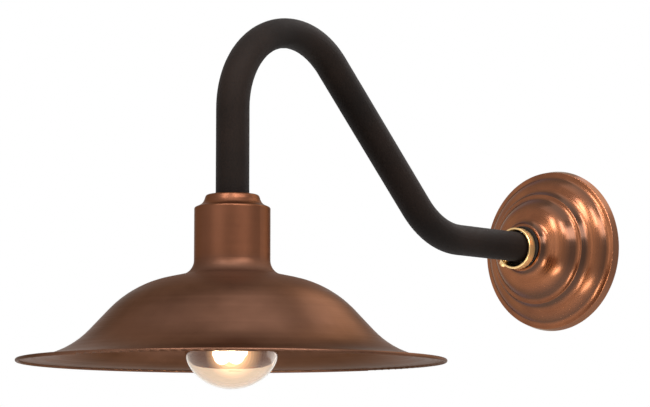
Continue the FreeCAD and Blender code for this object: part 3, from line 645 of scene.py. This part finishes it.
def threaded_rings(place):
    """Rings down a screw's shank, drawn in where the thread's groove passes, with a tapered last turn."""
    steps = round(BOX_SCREW_REACH / THREAD_PITCH * THREAD_TURN_RINGS)
    rings = []
    for step in range(steps + 1):
        along = BOX_SCREW_REACH * step / steps
        in_last_turn = max(0, along - BOX_SCREW_REACH + THREAD_PITCH)
        crest = BOX_SCREW_RADIUS - in_last_turn * THREAD_TAPER
        radii = []
        for side in range(THREAD_SIDES):
            turns = along / THREAD_PITCH - side / THREAD_SIDES
            groove = abs(turns % 1 * 2 - 1)
            radii.append(crest - THREAD_DEPTH * groove)
        rings.append(ring_of(place + INTO_WALL * along, ACROSS, UP, radii))
    return rings


def threaded_box_screws():
    """The box screws keep the head and neck of the solids and get a real thread."""
    form = bmesh.new()
    form.from_mesh(nodes["box_screws"].data)
    shank = [corner for corner in form.verts if corner.co.y > WALL_PLANE]
    bmesh.ops.delete(form, geom=shank, context="VERTS")
    for side in (-1, 1):
        skin(form, threaded_rings(ACROSS * side * BOX_SCREW_PLACE))
    mesh = mesh_from(form, "threaded_box_screws")
    finish_piece("threaded_box_screws", mesh, "fixture", "box_screws", "zinc_plated_steel")


# ---- twist-on connectors ----

def connector_profile():
    """The outline from inside a connector's mouth, over its skirt and its ribbed grip, to its tip.

    Each row holds a length from the mouth, a radius, and the depth of the ribs as a share of that radius.
    """
    profile = [(CONNECTOR_BORE_DEPTH, CONNECTOR_BORE_RADIUS, 0),
               (0, CONNECTOR_MOUTH_RADIUS, 0),
               (0, CONNECTOR_RADIUS * CONNECTOR_MOUTH_EDGE, 0),
               (CONNECTOR_MOUTH_BEVEL, CONNECTOR_RADIUS, 0),
               (CONNECTOR_SKIRT, CONNECTOR_RADIUS, 0)]
    grip = CONNECTOR_LENGTH - CONNECTOR_TIP_BEVEL - CONNECTOR_SKIRT
    for step in range(1, CONNECTOR_GRIP_RINGS + 1):
        share = step / CONNECTOR_GRIP_RINGS
        radius = CONNECTOR_RADIUS + (CONNECTOR_TIP_RADIUS - CONNECTOR_RADIUS) * share
        profile.append((CONNECTOR_SKIRT + grip * share, radius, CONNECTOR_RIB_DEPTH))
    profile.append((CONNECTOR_LENGTH, CONNECTOR_TIP_RADIUS * CONNECTOR_TIP_FLAT, 0))
    return profile


def connector_rings(mouth, way):
    """Rings along a connector, drawn in between its ribs."""
    around = CONNECTOR_RIBS * CONNECTOR_RIB_POINTS
    rings = []
    for along, radius, depth in connector_profile():
        radii = []
        for point in range(around):
            hollow = 0.5 - 0.5 * math.cos(2 * math.pi * CONNECTOR_RIBS * point / around)
            radii.append(radius * (1 - depth * hollow))
        rings.append(ring_of(mouth + way * along, INTO_WALL, way.cross(INTO_WALL), radii))
    return rings


def ribbed_connectors():
    """The three connectors get the ribs of their grip."""
    form = bmesh.new()
    for mouth, way in CONNECTORS:
        skin(form, connector_rings(mouth, way))
    mesh = mesh_from(form, "ribbed_connectors")
    finish_piece("ribbed_connectors", mesh, "fixture", "wire_connectors", "connector_plastic")


# ======== light of the lamp ========

def glow_ball(place, radius, brightness, colour):
    """A soft ball of light that moves with the lamp."""
    light = bpy.data.lights.new("glow", "POINT")
    light.shadow_soft_size = radius
    light.color = colour
    light.energy = brightness * (2 * math.pi * radius) ** 2
    made = into_scene("glow", light)
    made.location = place
    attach(made, "lamp")


def glow():
    """The light of the filament: beads along it, haloes round it, and the core that lights the shade."""
    middle = filament_middle() - UP * GLOW_DROP
    for degrees, above, radius, brightness in GLOW_BEADS:
        place = middle + FILAMENT_RADIUS * GLOW_BEAD_PLACE * on_filament(degrees) + UP * above
        glow_ball(place, radius, brightness, GLOW_COLOUR)
    centre = middle + FILAMENT_RADIUS * HALO_PLACE * on_filament(HALO_TURN)
    for step in range(HALOES):
        place = centre + INTO_WALL * HALO_SHIFT * (step + 1)
        glow_ball(place, HALO_START + HALO_STEP * step, HALO_BRIGHTNESS * HALO_FADE ** step, HALO_COLOUR)
    glow_ball(centre, LAMP_CORE_RADIUS, LAMP_CORE_BRIGHTNESS, GLOW_COLOUR)


# ======== studio ========

def world():
    """White to the eye, also in metal and glass; the light that it gives is brighter from one side."""
    made = bpy.data.worlds.new("studio")
    made.use_nodes = True
    tree = made.node_tree
    way = put(tree, "ShaderNodeTexCoord").outputs["Generated"]
    to_bright_side = on_vectors(tree, "DOT_PRODUCT", way, BRIGHT_WAY)
    room = between(tree, to_bright_side, BRIGHTENS_FROM, BRIGHTENS_TO, ROOM_DIM, ROOM_BRIGHT)
    to_patch = on_vectors(tree, "DOT_PRODUCT", way, TOP_LIGHT_WAY)
    room = sums(tree, "ADD", room, between(tree, to_patch, TOP_LIGHT_EDGE, 1.0, 0.0, TOP_LIGHT))
    background = tree.nodes["Background"]
    background.inputs["Color"].default_value = (*WHITE, 1)
    feed(tree, background.inputs["Strength"], sums(tree, "MAXIMUM", seen(tree), room))
    bpy.context.scene.world = made


def pale_floor():
    """A matt finish that is nearly as pale as the backdrop where it is seen, and keeps the shadows."""
    material, tree, shader, place = start_material("pale_floor")
    marks = marks_from(tree, FINE_GRAIN, Place=place, Size=FLOOR_GRAIN)
    colour = blended(tree, marks["Cloud"], (0.80, 0.80, 0.79, 1), (0.84, 0.84, 0.83, 1))
    set_shader(tree, shader, Base_Color=colour, Roughness=0.8)
    paleness = put(tree, "ShaderNodeEmission", {"Strength": FLOOR_TONE}).outputs[0]
    where_seen = put(tree, "ShaderNodeMixShader", {0: seen(tree), 2: paleness}).outputs[0]
    both = put(tree, "ShaderNodeAddShader", {0: shader.outputs[0], 1: where_seen}).outputs[0]
    feed(tree, tree.nodes["Material Output"].inputs["Surface"], both)
    return material


def floor():
    """A plain floor, well below the fixture."""
    wide = FLOOR_HALF_WIDTH
    corners = [(-wide, -wide, FLOOR_HEIGHT), (wide, -wide, FLOOR_HEIGHT),
               (wide, wide, FLOOR_HEIGHT), (-wide, wide, FLOOR_HEIGHT)]
    mesh = bpy.data.meshes.new("floor")
    mesh.from_pydata(corners, [], [range(len(corners))])
    mesh.materials.append(pale_floor())
    into_scene("floor", mesh)


def soft_box(name, azimuth, elevation, distance, width, height, strength, colour):
    """A rectangular lamp that faces the fixture and isn't itself in the picture."""
    lamp = bpy.data.lights.new(name, "AREA")
    lamp.shape = "RECTANGLE"
    lamp.size = width
    lamp.size_y = height
    lamp.energy = strength * width * height * math.pi
    lamp.color = colour
    made = into_scene(name, lamp)
    way = way_to(azimuth, elevation)
    made.location = SOFT_BOX_AIM + way * distance
    made.rotation_euler = way.to_track_quat("Z", "Y").to_euler()
    made.visible_camera = False


def camera():
    """The eye of the photo: a little below the fixture, and to its right."""
    lens = bpy.data.cameras.new("camera")
    lens.lens = CAMERA_LENS
    lens.sensor_width = CAMERA_SENSOR
    lens.clip_start = CAMERA_NEAR
    lens.clip_end = CAMERA_FAR
    made = into_scene("camera", lens)
    made.location = CAMERA_PLACE
    made.rotation_euler = way_to(CAMERA_AZIMUTH, CAMERA_ELEVATION).to_track_quat("Z", "Y").to_euler()
    bpy.context.scene.camera = made


dress_nodes()
filament_coil()
threaded_box_screws()
ribbed_connectors()
world()
floor()
glow()
camera()
for box in SOFT_BOXES:
    soft_box(*box)
bpy.context.scene.view_settings.view_transform = "Standard"
